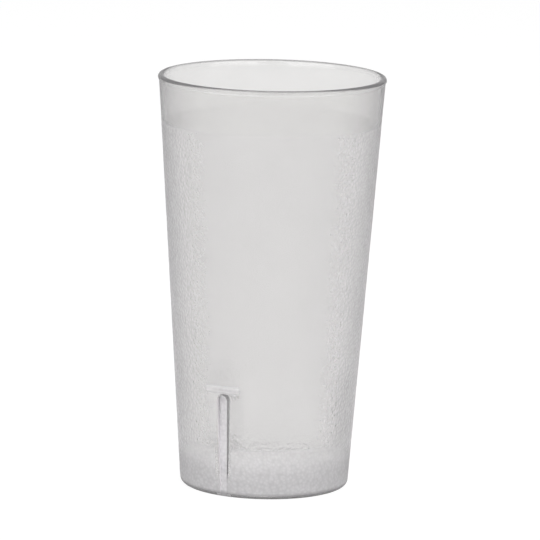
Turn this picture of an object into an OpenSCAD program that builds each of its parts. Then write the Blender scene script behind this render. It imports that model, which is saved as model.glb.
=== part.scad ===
// Stacking drinks tumbler, moulded in one piece of clear, slightly hazy plastic.
// The wall tapers down from a beaded rim to a rounded base with a hollow under the floor.
// Slots in the outside of the wall stand out inside as ribs, and the flat top of each
// rib is a ledge that carries the foot of the next tumbler in a stack.
// The origin is at the middle of the base, on the table. One slot faces +X.

/* [Cup] */
// Height from the table to the top of the lip
cup_h = 156.5; // [120:0.5:200]
// Diameter across the bead round the rim, the widest place
rim_d = 86; // [78:0.5:100]
// Diameter at which the outside of the tapered wall would meet the table
base_d = 63.4; // [56:0.1:70]
// Thickness of the wall, measured square to its slope
wall = 2; // [1.6:0.1:3]
// Thickness of the floor
floor_t = 2.7; // [2:0.1:5]
// Radius of the fillet between the wall and the floor inside
fillet_r = 3.5; // [1:0.1:8]

/* [Rim] */
// How far the bead stands out past the wall
bead_out = 0.35; // [0.1:0.05:1]

/* [Foot] */
// Radius of the rounded corner between the wall and the foot
corner_r = 2.4; // [1:0.1:4]
// Width of the flat ring that the cup stands on
foot_w = 4; // [2:0.1:8]
// Height of the hollow under the floor
recess_h = 1.8; // [0.8:0.1:4]
// Diameter of the dimple where the plastic entered the mould
gate_d = 6; // [3:0.5:12]
// Depth of that dimple
gate_h = 0.4; // [0.2:0.1:1]

/* [Stacking slots] */
// Number of slots round the wall
slot_count = 3; // [2:1:6]
// Width of a slot
slot_w = 4.2; // [2.5:0.1:8]
// Height of the crown of a slot's arch above the table
slot_top = 40; // [25:0.5:70]
// Depth of a slot under its arch
slot_deep = 2.4; // [1:0.1:3.5]
// Draft of a slot's back face, in degrees, which lets the cup leave its mould
slot_draft = 1; // [0:0.1:2]
// Thickness of the plastic between the crown of a slot and the ledge inside
ledge_t = 1.6; // [1:0.1:2.4]

/* [Hidden] */
$fn = 240;

// A cut runs this far past the surface that it opens
past = 1;

// Slope of the wall: the radius gained for each millimetre of height, and its angle
wall_slope = (rim_d / 2 - bead_out - base_d / 2) / cup_h;
draft = atan(wall_slope);

// Radius of the wall outside, inside and midway at the height z
function outer_r(z) = base_d / 2 + wall_slope * z;
function inner_r(z) = outer_r(z) - wall / cos(draft);
function middle_r(z) = (outer_r(z) + inner_r(z)) / 2;

// The lip is a full round: it touches the inner wall, the top and the bead's diameter
lip_r = (wall + bead_out * cos(draft)) / (1 + cos(draft) - sin(draft));
lip_x = rim_d / 2 - lip_r;
lip_z = cup_h - lip_r;

// Centre of the round at the base, which touches the wall and the table
corner_x = outer_r(corner_r) - corner_r / cos(draft);

// Top of the floor, and centre of the fillet that touches it and the inner wall
floor_z = recess_h + floor_t;
fillet_z = floor_z + fillet_r;
fillet_x = inner_r(fillet_z) - fillet_r / cos(draft);

// The hollow under the floor rises at 45 degrees from the inner edge of the foot
recess_r = corner_x - foot_w;

// Back face of the slots, and the ribs that keep the same wall behind them
function slot_back_r(z) = outer_r(slot_top) - slot_deep - (slot_top - z) * tan(slot_draft);
function rib_face_r(z) = slot_back_r(z) - wall;
arch_z = slot_top - slot_w / 2;
rib_w = slot_w + 2 * wall;
ledge_z = slot_top + ledge_t;

// Point on a circle about [x, z] where a line with the wall's slope touches it:
// side is 1 for the side away from the cup's axis and -1 for the side towards it
function touch(x, z, r, side) = [x + side * r * cos(draft), z - side * r * sin(draft)];

// Half of the section through the wall and floor, without slots, from the axis outwards
module wall_section() {
    difference() {
        polygon([
            [0, recess_h + gate_h],
            [gate_d / 2 - gate_h, recess_h + gate_h],
            [gate_d / 2, recess_h],
            [recess_r - recess_h, recess_h],
            [recess_r, 0],
            [corner_x, 0],
            [corner_x, corner_r],
            touch(corner_x, corner_r, corner_r, 1),
            [outer_r(lip_z), lip_z],
            [lip_x, lip_z],
            touch(lip_x, lip_z, lip_r, -1),
            touch(fillet_x, fillet_z, fillet_r, 1),
            [fillet_x, fillet_z],
            [fillet_x, floor_z],
            [0, floor_z]
        ]);
        translate([fillet_x, fillet_z]) circle(fillet_r);
    }
    translate([corner_x, corner_r]) circle(corner_r);
    translate([lip_x, lip_z]) circle(lip_r);
}

// Upright outline with a round arch on top: its crown is r above centre_z
module arch_outline(r, centre_z, bottom_z) {
    translate([0, centre_z]) circle(r);
    translate([-r, bottom_z]) square([2 * r, centre_z - bottom_z]);
}

// Bar with the given upright outline that runs out from the axis through the wall
module bar_outwards() {
    rotate([90, 0, 90]) linear_extrude(rim_d / 2 + past) children();
}

// One slot: an arched cut as deep as the slot's back face, open at the foot
module slot_cut() {
    top_z = slot_top + past;
    difference() {
        bar_outwards() arch_outline(slot_w / 2, arch_z, -past);
        translate([0, 0, -2 * past])
            cylinder(h = top_z + 2 * past, r1 = slot_back_r(-2 * past), r2 = slot_back_r(top_z));
    }
}

// One rib: the wall carried round behind a slot, cut off level on top as a ledge
module rib() {
    low_z = floor_z - floor_t / 2;
    intersection() {
        bar_outwards() intersection() {
            arch_outline(rib_w / 2, arch_z, low_z);
            translate([-rib_w / 2, low_z]) square([rib_w, ledge_z - low_z]);
        }
        difference() {
            translate([0, 0, low_z - past])
                cylinder(
                    h = ledge_z - low_z + 2 * past,
                    r1 = middle_r(low_z - past),
                    r2 = middle_r(ledge_z + past)
                );
            translate([0, 0, low_z - 2 * past])
                cylinder(
                    h = ledge_z - low_z + 4 * past,
                    r1 = rib_face_r(low_z - 2 * past),
                    r2 = rib_face_r(ledge_z + 2 * past)
                );
        }
    }
}

// Copies spaced evenly round the cup's axis
module round_the_axis(count) {
    for (i = [0 : count - 1]) rotate([0, 0, i * 360 / count]) children();
}

// The whole tumbler
module tumbler() {
    color([0.86, 0.87, 0.88, 0.55])
        difference() {
            union() {
                rotate_extrude() wall_section();
                round_the_axis(slot_count) rib();
            }
            round_the_axis(slot_count) slot_cut();
        }
}

tumbler();
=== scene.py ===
"""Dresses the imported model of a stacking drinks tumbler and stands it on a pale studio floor.

The tumbler is one moulding of clear, slightly hazy plastic. Its section is drawn as a path of lines and
arcs, spun round the axis, pebbled outside, and then given its slots and the ribs behind them. Lengths are
in metres, angles in degrees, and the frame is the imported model's: +Z up, origin in the middle of the base.
"""
import logging
import math
from collections.abc import Callable, Iterable
from dataclasses import dataclass, field
from enum import Enum
from functools import cached_property

import bmesh
import bpy
from mathutils import Matrix, Vector, noise


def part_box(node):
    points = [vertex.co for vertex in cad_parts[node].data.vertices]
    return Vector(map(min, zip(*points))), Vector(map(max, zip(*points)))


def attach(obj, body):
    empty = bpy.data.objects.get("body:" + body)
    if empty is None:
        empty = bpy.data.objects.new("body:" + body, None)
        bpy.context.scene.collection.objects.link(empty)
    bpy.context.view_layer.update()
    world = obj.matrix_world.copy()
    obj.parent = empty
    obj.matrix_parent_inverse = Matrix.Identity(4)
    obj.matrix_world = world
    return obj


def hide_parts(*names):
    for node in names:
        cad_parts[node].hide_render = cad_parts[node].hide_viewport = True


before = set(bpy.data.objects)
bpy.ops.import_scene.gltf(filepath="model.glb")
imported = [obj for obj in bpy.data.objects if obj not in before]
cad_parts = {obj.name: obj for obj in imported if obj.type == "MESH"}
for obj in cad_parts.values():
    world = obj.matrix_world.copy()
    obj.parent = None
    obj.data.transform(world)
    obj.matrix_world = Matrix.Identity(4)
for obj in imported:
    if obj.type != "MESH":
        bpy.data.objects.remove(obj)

LOG = logging.getLogger("tumbler")
NODE = "tumbler"
MM = 0.001
AT_BACK, AT_MOUTH = -0.5, 0.5
# Sockets of a Mix node that mixes colours: its two inputs and its result.
MIX_FIRST, MIX_SECOND, MIX_RESULT = 6, 7, 2


class Fineness(Enum):
    """How finely the moulding is meshed: (steps round the axis, spacing of the pebbled rings)."""

    QUICK = (160, 1.5 * MM)
    FULL = (320, 0.74 * MM)


class RayKind(Enum):
    """Rays that see the studio's white surroundings as they are, by their Light Path output."""

    CAMERA = "Is Camera Ray"
    GLOSSY = "Is Glossy Ray"
    TRANSMISSION = "Is Transmission Ray"


class Signal:
    """A number that flows between shader nodes. Arithmetic on it adds Math nodes."""

    def __init__(self, graph: "Graph", socket: bpy.types.NodeSocket) -> None:
        """Wraps an output socket.

        Args:
            graph: The graph that the socket's node is in.
            socket: The output socket.
        """
        self.graph = graph
        self.socket = socket

    def _math(self, operation: str, *values: "Signal | float", clamp: bool = False) -> "Signal":
        """Adds one Math node.

        Args:
            operation: The node's operation.
            values: Its inputs, in order.
            clamp: Whether the result is held between 0 and 1.

        Returns:
            The node's result.
        """
        settings = {"operation": operation, "use_clamp": clamp}
        return self.graph.signal("ShaderNodeMath", settings, dict(enumerate(values)))

    def __add__(self, other: "Signal | float") -> "Signal":
        """Returns the sum."""
        return self._math("ADD", self, other)

    __radd__ = __add__

    def __sub__(self, other: "Signal | float") -> "Signal":
        """Returns this less the other."""
        return self._math("SUBTRACT", self, other)

    def __rsub__(self, other: float) -> "Signal":
        """Returns the other less this."""
        return self._math("SUBTRACT", other, self)

    def __mul__(self, other: "Signal | float") -> "Signal":
        """Returns the product."""
        return self._math("MULTIPLY", self, other)

    def __truediv__(self, other: "Signal | float") -> "Signal":
        """Returns this divided by the other."""
        return self._math("DIVIDE", self, other)

    def __rtruediv__(self, other: float) -> "Signal":
        """Returns the other divided by this."""
        return self._math("DIVIDE", other, self)

    def __pow__(self, other: "Signal | float") -> "Signal":
        """Returns this to the given power."""
        return self._math("POWER", self, other)

    def clamped(self) -> "Signal":
        """Returns this held between 0 and 1."""
        return self._math("ADD", self, 0.0, clamp=True)

    def largest(self, other: "Signal | float") -> "Signal":
        """Returns the larger of the two."""
        return self._math("MAXIMUM", self, other)

    def rise(self, start: "Signal | float", length: float) -> "Signal":
        """Returns 0 up to the start, rising to 1 over the length after it."""
        return self._math("DIVIDE", self - start, length, clamp=True)

    def fall(self, end: "Signal | float", length: "Signal | float") -> "Signal":
        """Returns 1, falling over the length before the end to 0 from there on."""
        return self._math("DIVIDE", self._math("SUBTRACT", end, self), length, clamp=True)

    def size(self) -> "Signal":
        """Returns this without its sign."""
        return self._math("ABSOLUTE", self)

    def angle_to(self, other: "Signal") -> "Signal":
        """Returns the angle, in radians, of the point with this as its y and the other as its x."""
        return self._math("ARCTAN2", self, other)

    def wrapped(self, half: float) -> "Signal":
        """Returns this moved by whole turns of twice half, to lie between minus half and half."""
        return self._math("WRAP", self, half, -half)


class Graph:
    """The node tree of a material or a world, emptied and ready to be filled."""

    def __init__(self, owner: bpy.types.Material | bpy.types.World) -> None:
        """Turns the owner's nodes on and clears them.

        Args:
            owner: The material or world.
        """
        owner.use_nodes = True
        self.tree = owner.node_tree
        self.tree.nodes.clear()

    def node(self, kind: str, settings: dict | None = None, inputs: dict | None = None) -> bpy.types.Node:
        """Adds one node of any type.

        Args:
            kind: The node's type, such as ShaderNodeBump.
            settings: Attributes of the node itself, set before its sockets.
            inputs: Input sockets by name or number, each with a value, a signal or a socket to link.

        Returns:
            The new node.
        """
        node = self.tree.nodes.new(kind)
        for name, value in (settings or {}).items():
            setattr(node, name, value)
        for key, value in (inputs or {}).items():
            source = value.socket if isinstance(value, Signal) else value
            if isinstance(source, bpy.types.NodeSocket):
                self.tree.links.new(source, node.inputs[key])
            else:
                node.inputs[key].default_value = source
        return node

    def signal(
        self, kind: str, settings: dict | None = None, inputs: dict | None = None, output: str | int = 0
    ) -> Signal:
        """Adds one node and returns one of its outputs.

        Args:
            kind: The node's type.
            settings: Attributes of the node itself.
            inputs: Input sockets, as for node.
            output: The output's name or number.

        Returns:
            The output as a signal.
        """
        return Signal(self, self.node(kind, settings, inputs).outputs[output])

    def mixed(self, share: Signal, first: bpy.types.Node, second: bpy.types.Node) -> bpy.types.Node:
        """Returns a mix of two shaders, with the second one's share."""
        inputs = {0: share, 1: first.outputs[0], 2: second.outputs[0]}
        return self.node("ShaderNodeMixShader", inputs=inputs)


@dataclass(frozen=True)
class CupForm:
    """The moulding's sizes, as radii and heights, that its section, ribs and finish share."""

    height: float
    rim_r: float
    base_r: float = 31.7 * MM
    wall: float = 2.0 * MM
    floor_t: float = 2.7 * MM
    fillet_r: float = 3.5 * MM
    bead_out: float = 0.35 * MM
    corner_r: float = 2.4 * MM
    foot_w: float = 4.0 * MM
    recess_h: float = 1.8 * MM
    gate_r: float = 3.0 * MM
    gate_h: float = 0.4 * MM
    smooth_band: float = 16.5 * MM

    @property
    def slope(self) -> float:
        """Radius that the wall gains for each metre of height."""
        return (self.rim_r - self.bead_out - self.base_r) / self.height

    @property
    def draft(self) -> float:
        """The wall's lean from upright, in radians."""
        return math.atan(self.slope)

    @property
    def floor_z(self) -> float:
        """Height of the floor's upper face."""
        return self.recess_h + self.floor_t

    @property
    def pebble_top(self) -> float:
        """Height at which the pebbling stops and the smooth band under the rim starts."""
        return self.height - self.smooth_band

    def outer_r(self, z: float) -> float:
        """Radius of the wall outside at the height z."""
        return self.base_r + self.slope * z

    def inner_r(self, z: float) -> float:
        """Radius of the wall inside at the height z."""
        return self.outer_r(z) - self.wall / math.cos(self.draft)

    def middle_r(self, z: float) -> float:
        """Radius midway through the wall at the height z."""
        return (self.outer_r(z) + self.inner_r(z)) / 2


class Pen:
    """Draws a section in the XZ plane as one chain of edges, from point to point and round arcs."""

    def __init__(self, bm: bmesh.types.BMesh, x: float, z: float) -> None:
        """Puts the pen down.

        Args:
            bm: The mesh to draw in.
            x: Distance of the first point from the axis.
            z: Its height.
        """
        self.bm = bm
        self.tip = bm.verts.new((x, 0.0, z))

    def line(self, x: float, z: float, pieces: int = 1) -> None:
        """Draws a straight line of one or more equal edges.

        Args:
            x: Where the line ends, from the axis.
            z: Where it ends, in height.
            pieces: How many edges it is made of.
        """
        start = self.tip.co.copy()
        end = Vector((x, 0.0, z))
        for i in range(pieces):
            made = bmesh.ops.extrude_vert_indiv(self.bm, verts=[self.tip])["verts"]
            self.tip = made[0]
            self.tip.co = start.lerp(end, (i + 1) / pieces)

    def arc(self, x: float, z: float, turn: float, steps: int) -> None:
        """Draws an arc.

        Args:
            x: The arc's centre, from the axis.
            z: The centre's height.
            turn: How far it goes round, in radians, from +X towards +Z.
            steps: How many edges it is made of.
        """
        made = bmesh.ops.spin(
            self.bm,
            geom=[self.tip],
            cent=(x, 0.0, z),
            axis=(0.0, -1.0, 0.0),
            angle=turn,
            steps=steps,
            use_merge=False,
            use_duplicate=False,
        )
        self.tip = made["geom_last"][0]


@dataclass(frozen=True)
class Pebbling:
    """The fine raised grain outside: its larger grains are in the mesh, the finer ones are bump."""

    form: CupForm
    slots: "StackingSlots"
    grain: float = 1.5 * MM
    relief: float = 0.08 * MM
    flatten: float = 0.62
    edge: float = 2.0 * MM
    bare: float = 0.3 * MM

    def height_at(self, point: Vector) -> float:
        """Returns how far the surface stands out at a point, from 0 to the full relief."""
        nearest = noise.voronoi(point / self.grain)[0][0]
        dome = max(0.0, 1.0 - (nearest / self.flatten) ** 2)
        fade = min(self.form.pebble_top - point.z, self.slots.beyond(point) - self.bare)
        return self.relief * dome * min(1.0, max(0.0, fade / self.edge))

    def raise_grains(self, bm: bmesh.types.BMesh) -> None:
        """Moves the vertices of the outer wall below the smooth band.

        Args:
            bm: The spun moulding.
        """
        out_r, down = math.cos(self.form.draft), -math.sin(self.form.draft)
        low = self.form.corner_r
        for vert in bm.verts:
            reach = math.hypot(vert.co.x, vert.co.y)
            if low < vert.co.z < self.form.pebble_top and reach > self.form.middle_r(vert.co.z):
                around = Vector((vert.co.x / reach, vert.co.y / reach, 0.0))
                rise = self.height_at(vert.co)
                vert.co += around * (rise * out_r) + Vector((0.0, 0.0, rise * down))


@dataclass(frozen=True)
class Section:
    """A section through a slot or a rib: an arched outline, and the radius it stands at by height."""

    half: float
    foot_half: float
    radius: Callable[[float], float]


@dataclass(frozen=True)
class StackingSlots:
    """The arched slots in the outside of the wall and the ribs that carry the wall round behind them."""

    form: CupForm
    count: int = 3
    width: float = 4.6 * MM
    top: float = 39.7 * MM
    deep: float = 3.1 * MM
    draft: float = 1.0
    ledge_t: float = 1.9 * MM
    rib_deep: float = 4.4 * MM
    rib_draft: float = 1.0
    flare: float = -9.0
    narrowing: float = 0.9 * MM
    rib_flank: float = 7.4 * MM
    flank_ease: float = 0.5
    mouth_round: float = 0.25 * MM
    back_round: float = 0.35 * MM
    round_share: float = 0.45
    past: float = 1.0 * MM
    strips: int = 8
    arch_steps: int = 28
    round_steps: int = 5
    flank_steps: int = 28

    @property
    def ledge_z(self) -> float:
        """Height of the level ledge on top of a rib."""
        return self.top + self.ledge_t

    @property
    def arch_z(self) -> float:
        """Height of the arch's centre."""
        return self.top - self.width / 2

    def back_r(self, z: float) -> float:
        """Radius of the slot's back face at the height z."""
        return self.form.outer_r(self.top) - self.deep - (self.top - z) * math.tan(math.radians(self.draft))

    def face_r(self, z: float) -> float:
        """Radius of the rib's inner face at the height z."""
        lean = math.tan(math.radians(self.rib_draft))
        return self.form.outer_r(self.top) - self.rib_deep - (self.top - z) * lean

    def beyond(self, point: Vector) -> float:
        """Returns the distance along the wall from a point to the nearest slot's arched outline."""
        turn = math.tau / self.count
        angle = math.remainder(math.atan2(point.y, point.x), turn)
        above = max(0.0, point.z - self.arch_z)
        return math.hypot(angle * math.hypot(point.x, point.y), above) - self.width / 2

    def cuts(self, bm: bmesh.types.BMesh) -> None:
        """Makes the solids that cut the slots, with their mouths rounded.

        Args:
            bm: The mesh to fill.
        """
        f, low = self.form, -self.past
        quarter = [math.pi / 2 * i / self.round_steps for i in range(self.round_steps + 1)]
        sections = [
            self.slot_section(low, self.back_r, self.back_round, 1 - math.cos(a), math.sin(a) - 1, AT_BACK)
            for a in quarter
        ]
        sections += [
            self.slot_section(low, f.outer_r, self.mouth_round, math.sin(a) - 1, 1 - math.cos(a), AT_MOUTH)
            for a in quarter
        ]
        half, foot_half = sections[-1].half + self.past, sections[-1].foot_half + self.past
        past = Section(half, foot_half, lambda z: f.outer_r(z) + self.past)
        self.bars(bm, [*sections, past], low, f.height)

    def slot_section(
        self,
        low: float,
        face: Callable[[float], float],
        rounding: float,
        rise: float,
        widen: float,
        flared: float,
    ) -> Section:
        """Returns one section of a slot, on the rounding next to one of its faces.

        Args:
            low: The slot's lower end.
            face: Radius of the face at a height.
            rounding: Radius of the rounding next to it.
            rise: Distance from the face, outwards, in radii of the rounding.
            widen: Distance from the slot's side, in radii of the rounding.
            flared: Share of the flare, from AT_BACK to AT_MOUTH.

        Returns:
            The section.
        """
        open_by = math.tan(math.radians(self.flare)) * flared
        high_half, low_half = (
            self.width / 2 + widen * self.eased(rounding, z) + open_by * self.depth(z)
            for z in (self.top, low)
        )
        low_half -= self.narrowing
        return Section(high_half, low_half, lambda z: face(z) + rise * self.eased(rounding, z))

    def depth(self, z: float) -> float:
        """Returns how deep a slot is at the height z."""
        return self.form.outer_r(z) - self.back_r(z)

    def eased(self, rounding: float, z: float) -> float:
        """Returns a rounding's radius at the height z, which is less where the slot is shallow."""
        return min(rounding, self.round_share * self.depth(z))

    def ribs(self, bm: bmesh.types.BMesh) -> None:
        """Makes the solids that stand out inside as ribs, each with a level ledge on top.

        Args:
            bm: The mesh to fill.
        """
        f = self.form
        narrow = self.width / 2 + f.wall - self.rib_flank / 2
        sections = []
        for i in range(self.flank_steps + 1):
            u = i / self.flank_steps
            half = narrow + self.rib_flank * u
            t = (1 - self.flank_ease) * u + self.flank_ease * u * u * (3 - 2 * u)
            sections.append(
                Section(half, half, lambda z, t=t: self.face_r(z) * (1 - t) + f.inner_r(z) * t)
            )
        wide = sections[-1].half
        self.bars(bm, [*sections, Section(wide, wide, f.middle_r)], f.floor_z - f.floor_t / 2, self.ledge_z)

    def bars(self, bm: bmesh.types.BMesh, sections: list[Section], low: float, high: float) -> None:
        """Makes one closed bar from section to section, and repeats it round the axis.

        Args:
            bm: The mesh to fill.
            sections: The bar's sections, from the axis outwards.
            low: The bar's lower end.
            high: Height at which the bar is cut off level.
        """
        rings = [self.ring(bm, section, low, high) for section in sections]
        for near, far in zip(rings, rings[1:]):
            bmesh.ops.bridge_loops(bm, edges=[*near, *far])
        for end in (rings[0], rings[-1]):
            bmesh.ops.contextual_create(bm, geom=end)
        bmesh.ops.recalc_face_normals(bm, faces=list(bm.faces))
        self.follow_the_wall(bm)
        self.copy_round(bm)

    def ring(
        self, bm: bmesh.types.BMesh, section: Section, low: float, high: float
    ) -> list[bmesh.types.BMEdge]:
        """Draws one section as a closed chain of edges.

        Args:
            bm: The mesh to draw in.
            section: The section.
            low: Its lower end.
            high: Height at which it is cut off level.

        Returns:
            Its edges.
        """
        before = set(bm.edges)
        foot = bm.verts.new((0.0, section.foot_half, low))
        shoulder = bmesh.ops.extrude_vert_indiv(bm, verts=[foot])["verts"][0]
        shoulder.co = (0.0, section.half, self.arch_z)
        turned = bmesh.ops.spin(
            bm,
            geom=[shoulder],
            cent=(0.0, 0.0, self.arch_z),
            axis=(1.0, 0.0, 0.0),
            angle=math.pi,
            steps=self.arch_steps,
            use_merge=False,
            use_duplicate=False,
        )
        end = bmesh.ops.extrude_vert_indiv(bm, verts=[turned["geom_last"][0]])["verts"][0]
        end.co = (0.0, -section.foot_half, low)
        bmesh.ops.contextual_create(bm, geom=[end, foot])
        drawn = [edge for edge in bm.edges if edge not in before]
        for vert in {vert for edge in drawn for vert in edge.verts}:
            vert.co.z = min(vert.co.z, high)
            vert.co.x = section.radius(vert.co.z)
        return drawn

    def follow_the_wall(self, bm: bmesh.types.BMesh) -> None:
        """Bends the bar's two ends round the axis, after cutting it into upright strips.

        Args:
            bm: The mesh with one bar on +X.
        """
        half = max(vert.co.y for vert in bm.verts)
        for i in range(1, self.strips):
            side = -half + 2 * half * i / self.strips
            geom = [*bm.verts, *bm.edges, *bm.faces]
            bmesh.ops.bisect_plane(bm, geom=geom, plane_co=(0.0, side, 0.0), plane_no=(0.0, 1.0, 0.0))
        for vert in bm.verts:
            vert.co.x = math.sqrt(vert.co.x**2 - vert.co.y**2)

    def copy_round(self, bm: bmesh.types.BMesh) -> None:
        """Repeats the bar evenly round the axis.

        Args:
            bm: The mesh with one bar on +X.
        """
        first = [*bm.verts, *bm.edges, *bm.faces]
        for i in range(1, self.count):
            made = bmesh.ops.duplicate(bm, geom=first)["geom"]
            verts = [item for item in made if isinstance(item, bmesh.types.BMVert)]
            turn = Matrix.Rotation(math.tau * i / self.count, 3, "Z")
            bmesh.ops.rotate(bm, verts=verts, cent=(0.0, 0.0, 0.0), matrix=turn)


@dataclass(frozen=True)
class Spot:
    """A place on the moulding, as signals in metres."""

    reach: Signal
    z: Signal
    aside: Signal

    @classmethod
    def of(cls, graph: Graph, place: bpy.types.NodeSocket, slots: StackingSlots) -> "Spot":
        """Splits object coordinates.

        Args:
            graph: The material's graph.
            place: Object coordinates.
            slots: The slots, which are spaced evenly from +X.

        Returns:
            The distance from the axis, the height, and the distance along the wall from the middle
            of the nearest slot.
        """
        parts = graph.node("ShaderNodeSeparateXYZ", inputs={0: place})
        x, y, z = (Signal(graph, parts.outputs[i]) for i in range(3))
        reach = (x * x + y * y) ** 0.5
        aside = (y.angle_to(x).wrapped(math.pi / slots.count) * reach).size()
        return cls(reach, z, aside)


@dataclass
class Zones:
    """Zones of the moulding's surface, as signals: 1 in a zone, fading to 0 over a blend's distance."""

    form: CupForm
    slots: StackingSlots
    spot: Spot
    slot_spread: float = 0.65 * MM
    slot_behind: float = 0.3 * MM
    slot_blend: float = 0.1 * MM
    back_rise: float = 0.45 * MM
    beside_slot: float = 0.7 * MM
    beside_blend: float = 0.5 * MM
    slot_foot_z: float = 3.0 * MM
    clear_foot_z: float = 11.0 * MM
    low_blend: float = 5.0 * MM
    veil_side: float = 8.5 * MM
    veil_side_blend: float = 2.0 * MM
    veil_above: float = 0.1 * MM
    veil_half: float = 2.25 * MM
    veil_blend: float = 1.5 * MM
    ledge_proud: float = 0.025 * MM
    ledge_proud_blend: float = 0.05 * MM
    ledge_below: float = 0.4 * MM
    ledge_blend: float = 0.2 * MM
    flank_proud: float = 0.15 * MM
    fillet_blend: float = 4.0 * MM
    wall_blend: float = 0.3 * MM
    band_blend: float = 1.5 * MM
    corner_share: float = 0.5
    corner_blend: float = 0.6 * MM
    outer_blend: float = 0.2 * MM
    level_blend: float = 1.0 * MM
    # Where the shade painted into the haze round the base ends.
    low_shade_top: float = 17.0 * MM
    low_shade_blend: float = 7.0 * MM
    hazy_z: float = 24.0 * MM
    hazy_blend: float = 14.0 * MM
    foot_z: float = 2.6 * MM
    foot_blend: float = 1.2 * MM

    def radius(self, of_wall: Callable[[float], float]) -> Signal:
        """Returns a radius of the wall at the spot's height, from the method that gives it."""
        return self.spot.z * self.form.slope + of_wall(0.0)

    @cached_property
    def beyond_slot(self) -> Signal:
        """Distance along the wall from the nearest slot's arched outline."""
        above = (self.spot.z - self.slots.arch_z).largest(0.0)
        return (self.spot.aside * self.spot.aside + above * above) ** 0.5 - self.slots.width / 2

    @cached_property
    def back(self) -> Signal:
        """Radius of a slot's back face at the spot's height."""
        return self.spot.z * math.tan(math.radians(self.slots.draft)) + self.slots.back_r(0.0)

    @cached_property
    def slot(self) -> Signal:
        """The back and the sides of the slots."""
        within = self.beyond_slot.fall(self.slot_spread, self.slot_blend)
        outside = self.spot.reach.rise(self.back - self.slot_behind, self.slot_blend)
        below = self.spot.reach.fall(self.radius(self.form.outer_r) - self.slot_blend, self.slot_blend)
        return within * outside * below

    @cached_property
    def slot_back(self) -> Signal:
        """The back faces of the slots."""
        return self.slot * self.spot.reach.fall(self.back + self.back_rise, self.wall_blend)

    @cached_property
    def off_slot(self) -> Signal:
        """The whole moulding apart from the slots and a strip beside them, where dark edges show."""
        return self.beyond_slot.rise(self.beside_slot, self.beside_blend)

    @cached_property
    def pebbled(self) -> Signal:
        """The outside, from the base's corner up to the smooth band, and the slots."""
        outside = self.spot.reach.rise(self.radius(self.form.middle_r), self.wall_blend)
        below = self.spot.z.fall(self.form.pebble_top, self.band_blend)
        above = self.spot.z.rise(self.form.corner_r * self.corner_share, self.corner_blend)
        return (outside * below * above).largest(self.slot)

    @cached_property
    def low_shade_zone(self) -> Signal:
        """The lowest part of the moulding, round the floor's edge, where shade is painted into the haze."""
        return self.spot.z.fall(self.low_shade_top, self.low_shade_blend)

    @cached_property
    def hazy_base(self) -> Signal:
        """The pebbled wall round the floor's edge and above it, and of the slots only their feet."""
        at_foot = self.spot.z.fall(self.clear_foot_z, self.low_blend)
        low = self.spot.z.fall(self.hazy_z, self.hazy_blend)
        return low * self.pebbled * self.off_slot.largest(at_foot)

    @cached_property
    def over_ledge(self) -> Signal:
        """The pebbled wall with a ledge behind it."""
        beside = self.spot.aside.fall(self.veil_side, self.veil_side_blend)
        off_level = (self.spot.z - (self.slots.ledge_z + self.veil_above)).size()
        level = off_level.fall(self.veil_half, self.veil_blend)
        return beside * level * self.off_slot * self.pebbled

    @cached_property
    def ledge(self) -> Signal:
        """The ledges on top of the ribs."""
        inner = self.radius(self.form.inner_r)
        proud = self.spot.reach.fall(inner - self.ledge_proud, self.ledge_proud_blend)
        return proud * self.spot.z.rise(self.slots.ledge_z - self.ledge_below, self.ledge_blend)

    @cached_property
    def rib(self) -> Signal:
        """The ribs inside, between the floor's fillet and the ledges."""
        inner = self.radius(self.form.inner_r)
        proud = self.spot.reach.fall(inner - self.flank_proud, self.wall_blend)
        below_ledge = self.spot.z.fall(self.slots.ledge_z, self.wall_blend)
        fillet_top = self.form.floor_z + self.form.fillet_r
        return proud * below_ledge * self.spot.z.rise(fillet_top, self.fillet_blend)

    @cached_property
    def outer(self) -> Signal:
        """The wall's outside and what is deeper in it than its inner face."""
        return self.spot.reach.rise(self.radius(self.form.inner_r), self.outer_blend)

    @cached_property
    def over_floor(self) -> Signal:
        """All that is higher than the floor."""
        return self.spot.z.rise(self.form.floor_z, self.level_blend)

    @cached_property
    def slot_above_foot(self) -> Signal:
        """The slots, apart from their lowest part."""
        return self.slot * self.spot.z.rise(self.slot_foot_z, self.low_blend)

    @cached_property
    def under_crown(self) -> Signal:
        """All that is higher than the centre of a slot's arch."""
        return self.spot.z.rise(self.slots.arch_z, self.level_blend)

    @cached_property
    def foot(self) -> Signal:
        """The rounded corner of the base, next to the table."""
        corner_r = self.form.outer_r(self.form.corner_r) - self.form.corner_r
        near_table = self.spot.z.fall(self.foot_z, self.foot_blend)
        return near_table * self.spot.reach.rise(corner_r, self.wall_blend)


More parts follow.
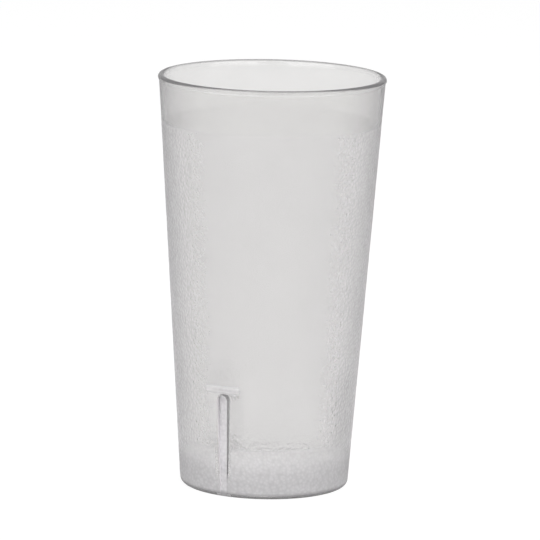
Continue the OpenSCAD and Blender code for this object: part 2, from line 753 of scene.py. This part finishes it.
@dataclass(frozen=True)
class ClearPlastic:
    """Clear hard plastic with a faint haze, smooth inside and in the band, finely pebbled below it, with
    shade painted at its edges, in its slots, along its ribs, at its foot and into its lower haze.
    """

    form: CupForm
    slots: StackingSlots
    tint: tuple[float, float, float] = (0.94, 0.935, 0.925)
    haze_tint: tuple[float, float, float] = (0.925, 0.908, 0.925)
    # Near-black colour of the shade painted at edges, in the slots, along the ribs and at the foot.
    painted_shade_tint: tuple[float, float, float] = (0.02, 0.02, 0.02)
    # How dark the darker colour is, for random tone and painted shade alike.
    tone_and_shade_depth: float = 0.6
    ior: float = 1.57
    smooth_clarity: float = 0.93
    pebble_clarity: float = 0.8
    grazing: float = 0.1
    smooth_roughness: float = 0.1
    pebble_roughness: float = 0.24
    roughness_spread: float = 0.04
    haze_roughness: float = 0.6
    haze_specular: float = 0.2
    slot_haze: float = 0.95
    over_ledge_haze: float = 0.6
    ledge_haze: float = 0.95
    base_haze: float = 0.85
    cloud_worn: float = 0.1
    # Share by which the clear tint is darker towards the top.
    darker_towards_top: float = 0.1
    # Painted shade in the haze: between the pebbles, round the base and in the slots, less at the slots'
    # feet.
    between_grains_shade: float = 0.32
    base_shade_share: float = 0.62
    slot_shade_share: float = 0.1
    slot_foot_shade_cut: float = 0.35
    # Shares and angles of the painted shade: at edges, in the slots and under their crowns, along the ribs,
    # where the wall turns away and at the foot.
    edge_dark: float = 0.7
    edge_cosine: float = 0.77
    edge_blend: float = 0.1
    slot_dark: float = 0.3
    crown_dark: float = 0.5
    rib_dark: float = 0.9
    rib_cosine: float = 0.6
    rib_blend: float = 0.15
    limb_dark: float = 0.27
    limb_cosine: float = 0.5
    limb_blend: float = 0.4
    band_more_cosine: float = 0.25
    band_more_blend: float = 0.2
    limb_at_foot: float = 0.05
    foot_dark: float = 0.42
    lamp_share: float = 0.9
    absorb_colour: tuple[float, float, float] = (0.5, 0.5, 0.5)
    absorb_density: float = 6.0
    cloud_scale: float = 60.0
    cloud_detail: float = 3.0
    grain: float = 1.2 * MM
    grain_softness: float = 0.4
    grain_height: float = 1.4
    relief: float = 0.107 * MM

    def material(self) -> bpy.types.Material:
        """Returns the finish as a material."""
        made = bpy.data.materials.new("HazyClearPlastic")
        graph = Graph(made)
        place = graph.node("ShaderNodeTexCoord").outputs["Object"]
        spot = Spot.of(graph, place, self.slots)
        zones = Zones(self.form, self.slots, spot)
        grains = self.grains(graph, place)
        cloud = graph.signal(
            "ShaderNodeTexNoise",
            inputs={"Vector": place, "Scale": self.cloud_scale, "Detail": self.cloud_detail},
        )
        bump = graph.node(
            "ShaderNodeBump",
            inputs={"Height": grains * zones.pebbled, "Distance": self.relief, "Strength": 1.0},
        ).outputs[0]
        rough = self.smooth_roughness + zones.pebbled * (self.pebble_roughness - self.smooth_roughness)
        # Random tone, and the clear tint darker towards the top.
        tone_and_height = cloud * self.cloud_worn + spot.z * (self.darker_towards_top / self.form.height)
        clear = graph.node(
            "ShaderNodeBsdfPrincipled",
            inputs={
                "Base Color": self.toned_and_shaded(graph, self.tint, tone_and_height),
                "Roughness": rough + (cloud - 0.5) * self.roughness_spread,
                "IOR": self.ior,
                "Transmission Weight": 1.0,
                "Normal": bump,
            },
        )
        haze = graph.node(
            "ShaderNodeBsdfPrincipled",
            inputs={
                "Base Color": self.toned_and_shaded(graph, self.haze_tint, self.haze_shade_and_tone(zones, grains, cloud)),
                "Roughness": self.haze_roughness,
                "Specular IOR Level": self.haze_specular,
                "Normal": bump,
            },
        )
        # A near-black shader, mixed in below as painted shade.
        painted_shade_bsdf = graph.node(
            "ShaderNodeBsdfPrincipled",
            inputs={"Base Color": (*self.painted_shade_tint, 1.0), "Specular IOR Level": 0.0},
        )
        inside = graph.signal("ShaderNodeNewGeometry", None, None, "Backfacing")
        upright = 1.0 - graph.signal("ShaderNodeLayerWeight", None, {"Normal": bump}, "Facing")
        hazy = graph.mixed(self.haze_share(zones, inside, upright), clear, haze)
        plastic = graph.mixed(self.painted_shade_share(zones, inside, upright), hazy, painted_shade_bsdf)
        path = graph.node("ShaderNodeLightPath")
        lit_through = Signal(graph, path.outputs["Is Shadow Ray"]) * self.lamp_share
        surface = graph.mixed(lit_through, plastic, graph.node("ShaderNodeBsdfTransparent"))
        within = graph.node(
            "ShaderNodeVolumeAbsorption",
            inputs={"Color": (*self.absorb_colour, 1.0), "Density": self.absorb_density},
        )
        graph.node(
            "ShaderNodeOutputMaterial",
            inputs={"Surface": surface.outputs[0], "Volume": within.outputs[0]},
        )
        return made

    def toned_and_shaded(
        self, graph: Graph, colour: tuple[float, float, float], cloud: Signal
    ) -> bpy.types.NodeSocket:
        """Darkens a colour a little: random tone from the plastic's flow, and painted shade where a caller
        asks for it.

        Args:
            graph: The material's graph.
            colour: The colour.
            cloud: Where it is darker, from 0 to 1.

        Returns:
            The varied colour.
        """
        darker = (*[c * self.tone_and_shade_depth for c in colour], 1.0)
        inputs = {"Factor": cloud, MIX_FIRST: (*colour, 1.0), MIX_SECOND: darker}
        return graph.node("ShaderNodeMix", {"data_type": "RGBA"}, inputs).outputs[MIX_RESULT]

    def haze_shade_and_tone(self, zones: Zones, grains: Signal, cloud: Signal) -> Signal:
        """Works out where the haze is darker: random tone all over, and painted shade between the pebbles,
        round the base and in the slots, less at the slots' feet.

        Args:
            zones: The moulding's zones.
            grains: Height of the pebbles.
            cloud: Slow changes all over.

        Returns:
            How much darker, from 0 to 1.
        """
        base = zones.low_shade_zone
        haze_shade_and_tone = cloud * self.cloud_worn + (1.0 - grains) * zones.pebbled * self.between_grains_shade
        haze_shade_and_tone = haze_shade_and_tone + base * zones.pebbled * self.base_shade_share
        haze_shade_and_tone = haze_shade_and_tone + zones.slot * (self.slot_shade_share - base * self.slot_foot_shade_cut)
        return (haze_shade_and_tone * (1.0 - zones.slot + zones.slot_back)).clamped()

    def haze_share(self, zones: Zones, inside: Signal, upright: Signal) -> Signal:
        """Works out how much light the haze catches, which grows where it is seen edge on.

        Args:
            zones: The moulding's zones.
            inside: 1 for light inside the plastic.
            upright: Cosine of the angle at which light meets the surface.

        Returns:
            The share, from 0 to 1.
        """
        clarity = self.smooth_clarity + zones.pebbled * (self.pebble_clarity - self.smooth_clarity)
        share = 1.0 - clarity ** (1.0 / upright.largest(self.grazing))
        scuffed = (zones.hazy_base * self.base_haze).largest(zones.slot * self.slot_haze)
        scuffed = scuffed.largest(zones.over_ledge * self.over_ledge_haze) * (1.0 - inside)
        return share.largest(scuffed).largest(zones.ledge * self.ledge_haze)

    def painted_shade_share(self, zones: Zones, inside: Signal, upright: Signal) -> Signal:
        """Works out where a near-black shade is painted over the plastic: at edges where light can't leave
        it or the wall turns away, in the slots, along the ribs and at the foot.

        Args:
            zones: The moulding's zones.
            inside: 1 for light inside the plastic.
            upright: Cosine of the angle at which light meets the surface.

        Returns:
            The share of painted shade, from 0 to 1.
        """
        # Each part below is painted shade: in the slots and under their crowns, at edges seen from inside,
        # along the ribs, where the wall turns away, and at the foot.
        in_slot = zones.slot_above_foot * (zones.under_crown * self.crown_dark + self.slot_dark)
        rounds = (zones.outer * zones.over_floor * self.edge_dark).largest(in_slot)
        trapped = upright.fall(self.edge_cosine, self.edge_blend) * rounds * inside
        along_rib = upright.fall(self.rib_cosine, self.rib_blend) * zones.rib * self.rib_dark
        smooth = 1.0 - zones.pebbled
        limb = upright.fall(
            smooth * self.band_more_cosine + self.limb_cosine,
            smooth * self.band_more_blend + self.limb_blend,
        )
        high = zones.spot.z / self.form.height + self.limb_at_foot
        turned = along_rib.largest(limb * zones.outer * high * self.limb_dark) * (1.0 - inside)
        return trapped.largest(turned).largest(zones.foot * self.foot_dark)

    def grains(self, graph: Graph, place: bpy.types.NodeSocket) -> Signal:
        """Makes the height of the fine pebbles.

        Args:
            graph: The material's graph.
            place: Object coordinates.

        Returns:
            The height, from 0 between the pebbles to about 1 on them.
        """
        cells = graph.signal(
            "ShaderNodeTexVoronoi",
            {"feature": "SMOOTH_F1"},
            {"Vector": place, "Scale": 1.0 / self.grain, "Smoothness": self.grain_softness},
        )
        return 1.0 - cells * self.grain_height


@dataclass(frozen=True)
class FloorFinish:
    """Plain white studio sweep that still takes the object's shadow, softened where it is seen; seen steeply
    through the plastic it is drawn dimmer, as painted shade.
    """

    colour: tuple[float, float, float] = (0.78, 0.78, 0.78)
    own_share: float = 0.75
    own_white: float = 1.13
    mirrored_white: float = 0.4
    through_share: float = 0.95
    through_white: float = 0.93
    steep_white: float = 0.4
    low_cosine: float = 0.4
    steep_cosine: float = 0.66
    grain_scale: float = 400.0

    def material(self) -> bpy.types.Material:
        """Returns the finish as a material."""
        made = bpy.data.materials.new("WhiteSweep")
        graph = Graph(made)
        place = graph.node("ShaderNodeTexCoord").outputs["Object"]
        grain = graph.signal("ShaderNodeTexNoise", inputs={"Vector": place, "Scale": self.grain_scale})
        card = graph.node(
            "ShaderNodeBsdfDiffuse",
            inputs={"Color": (*self.colour, 1.0), "Roughness": grain},
        )
        through = ray_share(graph, RayKind.TRANSMISSION)
        mirrored = ray_share(graph, RayKind.GLOSSY) * (1.0 - through)
        cosine = 1.0 - graph.signal("ShaderNodeLayerWeight", None, None, "Facing")
        steep = cosine.rise(self.low_cosine, self.steep_cosine - self.low_cosine)
        # Painted shade: the floor seen through the plastic is dimmer the more steeply it is seen.
        seen_through = self.through_white - steep * (self.through_white - self.steep_white)
        level = self.own_white - mirrored * (self.own_white - self.mirrored_white)
        level = level + through * (seen_through - level)
        white = graph.node(
            "ShaderNodeEmission", inputs={"Color": (1.0, 1.0, 1.0, 1.0), "Strength": level}
        )
        share = ray_share(graph, *RayKind) * self.own_share
        share = share + through * (self.through_share - self.own_share)
        both = graph.mixed(share, card, white)
        graph.node("ShaderNodeOutputMaterial", inputs={"Surface": both.outputs[0]})
        return made


def ray_share(graph: Graph, *kinds: RayKind) -> Signal:
    """Marks rays of the given kinds.

    Args:
        graph: The graph to add to.
        kinds: The kinds of ray.

    Returns:
        1 for those rays and 0 for the rest.
    """
    path = graph.node("ShaderNodeLightPath")
    share = Signal(graph, path.outputs[kinds[0].value])
    for kind in kinds[1:]:
        share = share.largest(Signal(graph, path.outputs[kind.value]))
    return share


@dataclass(frozen=True)
class SoftLamp:
    """One rectangular soft light that faces the middle of the object."""

    name: str
    azimuth: float
    elevation: float
    distance: float
    width: float
    watts: float

    def hang(self, target: Vector) -> bpy.types.Object:
        """Puts the lamp in the scene.

        Args:
            target: The point that it faces.

        Returns:
            The lamp's object.
        """
        data = bpy.data.lights.new(self.name, "AREA")
        data.shape = "SQUARE"
        data.size = self.width
        data.energy = self.watts
        lamp = bpy.data.objects.new(self.name, data)
        back = direction(self.azimuth, self.elevation)
        lamp.location = target + back * self.distance
        lamp.rotation_mode = "QUATERNION"
        lamp.rotation_quaternion = back.to_track_quat("Z", "Y")
        bpy.context.scene.collection.objects.link(lamp)
        return lamp


def direction(azimuth: float, elevation: float) -> Vector:
    """Returns the unit vector from the object towards a viewpoint; azimuth 0 is in front, on -Y."""
    a, e = math.radians(azimuth), math.radians(elevation)
    return Vector((math.sin(a) * math.cos(e), -math.cos(a) * math.cos(e), math.sin(e)))


@dataclass(frozen=True)
class Studio:
    """A wide white floor, white surroundings and soft lamps at a plain level."""

    target: Vector
    floor_side: float = 12.0
    fill: float = 0.35
    through_white: float = 0.92
    dimmed: float = 0.35
    dims_from: float = 0.12
    dims_to: float = 0.45
    floor_finish: FloorFinish = field(default_factory=FloorFinish)
    lamps: tuple[SoftLamp, ...] = (
        SoftLamp("left_lamp", -44.0, 36.0, 2.3, 2.4, 30.0),
        SoftLamp("right_lamp", 41.0, 36.0, 2.3, 2.4, 29.0),
        SoftLamp("top_lamp", 170.0, 75.0, 1.7, 1.2, 5.0),
    )

    def build(self) -> None:
        """Makes the floor, the world and the lamps."""
        bm = bmesh.new()
        bmesh.ops.create_grid(bm, x_segments=1, y_segments=1, size=self.floor_side / 2)
        mesh = bpy.data.meshes.new("floor")
        bm.to_mesh(mesh)
        bm.free()
        mesh.materials.append(self.floor_finish.material())
        floor = bpy.data.objects.new("floor", mesh)
        bpy.context.scene.collection.objects.link(floor)
        self.surround()
        for lamp in self.lamps:
            lamp.hang(self.target)

    def surround(self) -> None:
        """Fills the world: white where it is seen, dimmer overhead in reflections, softer as a lamp."""
        world = bpy.data.worlds.new("white_surroundings")
        bpy.context.scene.world = world
        graph = Graph(world)
        seen = ray_share(graph, RayKind.CAMERA)
        through = ray_share(graph, RayKind.TRANSMISSION)
        aim = graph.node("ShaderNodeTexCoord").outputs["Generated"]
        height = graph.signal("ShaderNodeSeparateXYZ", None, {0: aim}, "Z")
        low = height.fall(self.dims_to, self.dims_to - self.dims_from)
        white = self.dimmed + low * (self.through_white - self.dimmed)
        strength = self.fill + through * (white - self.fill)
        strength = strength + seen * (1.0 - strength)
        light = graph.node(
            "ShaderNodeBackground", inputs={"Color": (1.0, 1.0, 1.0, 1.0), "Strength": strength}
        )
        graph.node("ShaderNodeOutputWorld", inputs={"Surface": light.outputs[0]})


@dataclass(frozen=True)
class PhotoCamera:
    """The photograph's viewpoint: far off, a little above the rim, leaning slightly."""

    aim_z: float = 78.0 * MM
    side_m: float = 0.62 * MM
    rise_m: float = 3.96 * MM
    azimuth: float = -1.55
    elevation: float = 10.47
    lean: float = 1.2244
    distance: float = 2.0
    lens_mm: float = 352.7
    sensor_mm: float = 36.0
    clip_start: float = 0.1
    clip_end: float = 40.0

    def build(self) -> None:
        """Makes the camera and gives it to the scene."""
        data = bpy.data.cameras.new("photo_camera")
        data.lens = self.lens_mm
        data.sensor_width = self.sensor_mm
        data.clip_start = self.clip_start
        data.clip_end = self.clip_end
        camera = bpy.data.objects.new("photo_camera", data)
        back = direction(self.azimuth, self.elevation)
        right = Vector((0.0, 0.0, 1.0)).cross(back).normalized()
        up = back.cross(right)
        aim = Vector((0.0, 0.0, self.aim_z))
        place = aim + back * self.distance
        seen = aim + right * self.side_m + up * self.rise_m
        back = (place - seen).normalized()
        right = Vector((0.0, 0.0, 1.0)).cross(back).normalized()
        up = back.cross(right)
        lean = math.radians(self.lean)
        across = right * math.cos(lean) + up * math.sin(lean)
        upward = up * math.cos(lean) - right * math.sin(lean)
        axes = Matrix((across, upward, back)).transposed()
        camera.matrix_world = Matrix.Translation(place) @ axes.to_4x4()
        bpy.context.scene.collection.objects.link(camera)
        bpy.context.scene.camera = camera


def mesh_object(name: str, fill: Callable[[bmesh.types.BMesh], None]) -> bpy.types.Object:
    """Makes an object at the origin from a mesh that a function fills.

    Args:
        name: The object's name.
        fill: Puts the shape into an empty mesh.

    Returns:
        The object, linked to the scene.
    """
    bm = bmesh.new()
    fill(bm)
    mesh = bpy.data.meshes.new(name)
    bm.to_mesh(mesh)
    bm.free()
    made = bpy.data.objects.new(name, mesh)
    bpy.context.scene.collection.objects.link(made)
    return made


def combine(body: bpy.types.Object, tools: Iterable[tuple[str, bpy.types.Object]]) -> None:
    """Adds or cuts solids, one after the other, and removes them afterwards.

    Args:
        body: The solid that is changed.
        tools: Each operation, UNION or DIFFERENCE, with its solid.
    """
    used = list(tools)
    for operation, tool in used:
        modifier = body.modifiers.new(operation.lower(), "BOOLEAN")
        modifier.operation = operation
        modifier.solver = "EXACT"
        modifier.object = tool
    shaped = body.evaluated_get(bpy.context.evaluated_depsgraph_get())
    mesh = bpy.data.meshes.new_from_object(shaped)
    body.modifiers.clear()
    old = body.data
    body.data = mesh
    bpy.data.meshes.remove(old)
    for _, tool in used:
        bpy.data.meshes.remove(tool.data)


@dataclass
class Tumbler:
    """The moulding itself: spun section, pebbled wall, slots and ribs, in one closed mesh."""

    form: CupForm
    slots: StackingSlots
    fineness: Fineness
    bead_fillet: float = 1.3 * MM
    bead_steps: int = 4
    lip_steps: int = 14
    corner_steps: int = 8
    floor_rings: int = 6
    band_rings: int = 6
    recess_rings: int = 4
    foot_rings: int = 2
    inner_rings: int = 24
    weld: float = 0.001 * MM
    sharp_above: float = 32.0
    slot_sharp_above: float = 8.0
    near: float = 0.4 * MM

    def build(self) -> bpy.types.Object:
        """Makes the tumbler's mesh.

        Returns:
            Its object, not yet dressed.
        """
        body = mesh_object("tumbler_moulding", self.spin_section)
        tools = [
            ("UNION", mesh_object("rib_bars", self.slots.ribs)),
            ("DIFFERENCE", mesh_object("slot_bars", self.slots.cuts)),
        ]
        combine(body, tools)
        body.data.shade_smooth()
        body.data.set_sharp_from_angle(angle=math.radians(self.sharp_above))
        self.crease_slots(body.data)
        return body

    def crease_slots(self, mesh: bpy.types.Mesh) -> None:
        """Marks the edges of the small roundings in the slots sharp, so that the wall beside stays true.

        Args:
            mesh: The moulding's mesh.
        """
        bm = bmesh.new()
        bm.from_mesh(mesh)
        for edge in bm.edges:
            middle = (edge.verts[0].co + edge.verts[1].co) / 2
            outside = math.hypot(middle.x, middle.y) > self.slots.back_r(middle.z) - self.near
            if outside and self.slots.beyond(middle) < self.near:
                if edge.calc_face_angle(0.0) > math.radians(self.slot_sharp_above):
                    edge.smooth = False
        bm.to_mesh(mesh)
        bm.free()

    def spin_section(self, bm: bmesh.types.BMesh) -> None:
        """Draws half of the section, spins it round the axis and pebbles the wall.

        Args:
            bm: The mesh to fill.
        """
        self.draw_section(bm)
        steps = self.fineness.value[0]
        bmesh.ops.spin(
            bm,
            geom=[*bm.verts, *bm.edges],
            cent=(0.0, 0.0, 0.0),
            axis=(0.0, 0.0, 1.0),
            angle=math.tau,
            steps=steps,
            use_merge=True,
            use_duplicate=False,
        )
        bmesh.ops.remove_doubles(bm, verts=list(bm.verts), dist=self.weld)
        bmesh.ops.recalc_face_normals(bm, faces=list(bm.faces))
        Pebbling(self.form, self.slots).raise_grains(bm)

    def draw_section(self, bm: bmesh.types.BMesh) -> None:
        """Draws the section from under the floor, out round the foot, up over the lip and down inside.

        Args:
            bm: The mesh to draw in.
        """
        f = self.form
        cos, sin = math.cos(f.draft), math.sin(f.draft)
        corner_x = f.outer_r(f.corner_r) - f.corner_r / cos
        recess_r = corner_x - f.foot_w
        lip_r = (f.wall + f.bead_out * cos) / (1 + cos - sin)
        lip_x, lip_z = f.rim_r - lip_r, f.height - lip_r
        off_wall = lip_r - f.bead_out * cos
        below = math.acos((off_wall + self.bead_fillet) / (lip_r + self.bead_fillet))
        apart = (lip_r + self.bead_fillet) * math.sin(below)
        bead_x = lip_x + (off_wall + self.bead_fillet) * cos - apart * sin
        bead_z = lip_z - (off_wall + self.bead_fillet) * sin - apart * cos
        fillet_z = f.floor_z + f.fillet_r
        fillet_x = f.inner_r(fillet_z) - f.fillet_r / cos
        rings = round((f.pebble_top - f.corner_r) / self.fineness.value[1])

        pen = Pen(bm, 0.0, f.recess_h + f.gate_h)
        pen.line(f.gate_r - f.gate_h, f.recess_h + f.gate_h)
        pen.line(f.gate_r, f.recess_h)
        pen.line(recess_r - f.recess_h, f.recess_h, self.recess_rings)
        pen.line(recess_r, 0.0, self.foot_rings)
        pen.line(corner_x, 0.0, self.foot_rings)
        pen.arc(corner_x, f.corner_r, math.pi / 2 - f.draft, self.corner_steps)
        pen.line(f.outer_r(f.pebble_top), f.pebble_top, rings)
        pen.line(bead_x - self.bead_fillet * cos, bead_z + self.bead_fillet * sin, self.band_rings)
        pen.arc(bead_x, bead_z, -below, self.bead_steps)
        pen.arc(lip_x, lip_z, below + math.pi, self.lip_steps)
        pen.line(fillet_x + f.fillet_r * cos, fillet_z - f.fillet_r * sin, self.inner_rings)
        pen.arc(fillet_x, fillet_z, -(math.pi / 2 - f.draft), self.corner_steps)
        pen.line(0.0, f.floor_z, self.floor_rings)

    def dress(self, body: bpy.types.Object, finish: ClearPlastic) -> None:
        """Gives the tumbler its finish and its place in the frame.

        Args:
            body: The tumbler's object.
            finish: The plastic that it is made of.
        """
        body.data.materials.clear()
        body.data.materials.append(finish.material())
        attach(body, "root")
        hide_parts(NODE)


def report(piece: bpy.types.Object) -> None:
    """Logs a piece's name and size.

    Args:
        piece: The finished piece.
    """
    piece.data.calc_loop_triangles()
    LOG.info("%s: %d triangles", piece.name, len(piece.data.loop_triangles))


def main() -> None:
    """Builds the tumbler, the studio and the camera, and logs each."""
    logging.basicConfig(level=logging.INFO, format="%(name)s: %(message)s")
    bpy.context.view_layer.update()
    low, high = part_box(NODE)
    form = CupForm(height=high.z - low.z, rim_r=(high.x - low.x) / 2)
    slots = StackingSlots(form)
    tumbler = Tumbler(form, slots, Fineness.FULL)
    body = tumbler.build()
    tumbler.dress(body, ClearPlastic(form, slots))
    report(body)

    middle = Vector((0.0, 0.0, form.height / 2))
    Studio(target=middle).build()
    LOG.info("studio: floor, surroundings and lamps")
    PhotoCamera().build()
    LOG.info("camera: at the photograph's viewpoint")
    bpy.context.scene.view_settings.view_transform = "Standard"


if __name__ == "__main__":
    main()
